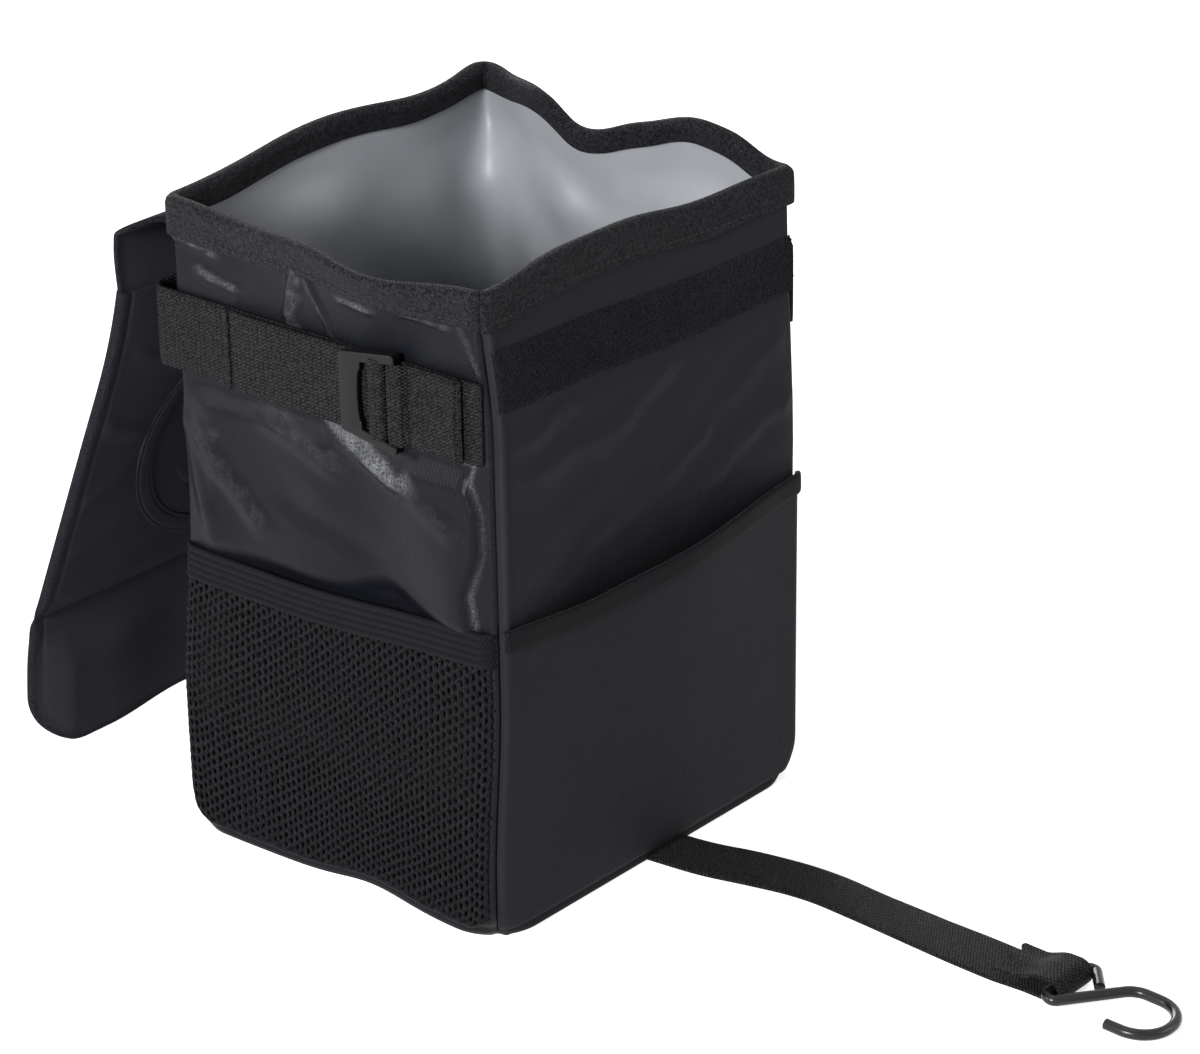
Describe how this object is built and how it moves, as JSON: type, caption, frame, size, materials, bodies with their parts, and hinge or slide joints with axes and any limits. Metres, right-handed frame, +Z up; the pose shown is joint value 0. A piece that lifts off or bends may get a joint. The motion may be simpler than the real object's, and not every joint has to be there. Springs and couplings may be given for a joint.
{
  "type": "car trash bin",
  "caption": "Soft cloth car bin with a lined open mouth, hinged lid with slit mouth and flap, side and front pockets, headrest strap with buckle, and floor strap with wire hook.",
  "frame": {"origin": "middle of the base, on the floor", "axes": "+Z up, front wall with the loop strip towards -Y, lid hinged at the back towards +Y"},
  "size_m": [0.1885, 0.4583, 0.25],
  "materials": {
    "matte_cloth": "matt woven polyester, black",
    "satin_cloth": "satin coated polyester, black",
    "board": "stiff sheet",
    "liner_film": "satin grey waterproof film",
    "woven_tape": "woven tape, black",
    "loop_pile": "fuzzy loop pile, black",
    "hook_pile": "fine plastic hooks, black",
    "mesh": "knitted net, black",
    "elastic": "ribbed elastic, black",
    "webbing": "ribbed webbing, black",
    "moulded_plastic": "semi-gloss moulding, black",
    "lid_cloth": "smooth sueded cloth, black",
    "coated_wire": "black coated wire"
  },
  "bodies": {
    "bin": {"front_panel": "matte_cloth", "back_panel": "matte_cloth", "base_panel": "matte_cloth", "left_side_panel": "satin_cloth", "right_side_panel": "satin_cloth", "base_board": "board", "liner": "liner_film", "rim_binding": "woven_tape", "loop_strip": "loop_pile", "front_pocket": "matte_cloth", "front_pocket_hem": "woven_tape", "left_mesh_pocket": "mesh", "right_mesh_pocket": "mesh", "left_mesh_hem": "elastic", "right_mesh_hem": "elastic", "headrest_strap": "webbing", "strap_anchor": "webbing", "ladder_lock": "moulded_plastic", "lid_hinge_web": "lid_cloth", "anchor_strap": "webbing"},
    "lid": {"lid_panel": "lid_cloth", "lid_opening_ring": "lid_cloth", "lid_membrane": "lid_cloth"},
    "flap": {"lid_flap": "lid_cloth", "hook_strip": "hook_pile"},
    "hook": {"anchor_hook": "coated_wire"}
  },
  "joints": [
    {"name": "lid_hinge", "type": "hinge", "parent": "bin", "child": "lid", "pos_m": [0, 0.10147, 0.23632], "axis": [1, 0, 0], "range_deg": [0, 245.9]},
    {"name": "flap_fold", "type": "hinge", "parent": "lid", "child": "flap", "pos_m": [0, 0.157, 0.064], "axis": [1, 0, 0], "range_deg": [0, 109]},
    {"name": "hook_swing", "type": "hinge", "parent": "bin", "child": "hook", "pos_m": [0.015, -0.249, 0.004], "axis": [-1, 0, 0], "range_deg": [0, 110]}
  ]
}
